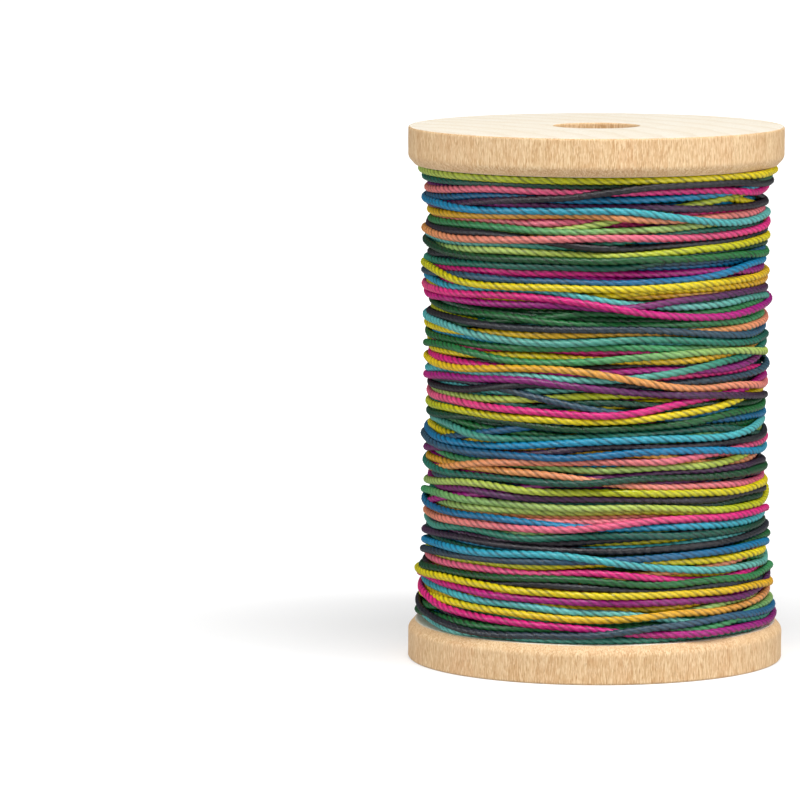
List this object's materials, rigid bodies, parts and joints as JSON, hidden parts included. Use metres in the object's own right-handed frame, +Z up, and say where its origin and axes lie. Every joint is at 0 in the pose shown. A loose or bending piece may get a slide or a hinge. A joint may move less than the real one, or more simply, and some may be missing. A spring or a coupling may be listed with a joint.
{
  "type": "thread spool",
  "caption": "Turned wooden spool with flat flanges and a spindle bore, wound full of multicoloured waxed three-ply thread.",
  "frame": {"origin": "centre of the lower flange's flat face, on the spool's axis", "axes": "+Z up along the spool's axis, from the lower flange to the upper one; +X and +Y are square to it"},
  "size_m": [0.051, 0.051, 0.0725],
  "materials": {
    "spool_wood": "bare sanded close-grained hardwood, end grain on the flat faces",
    "thread_underneath": "waxed thread in shadow",
    "waxed_thread": "satin waxed thread, dyed along its length in blue, aqua, green, yellow, peach, pink, magenta, purple and black"
  },
  "bodies": {
    "root": {"wooden_spool": "spool_wood", "thread_inner_winding": "thread_underneath", "thread_outer_winding": "waxed_thread"}
  },
  "joints": []
}
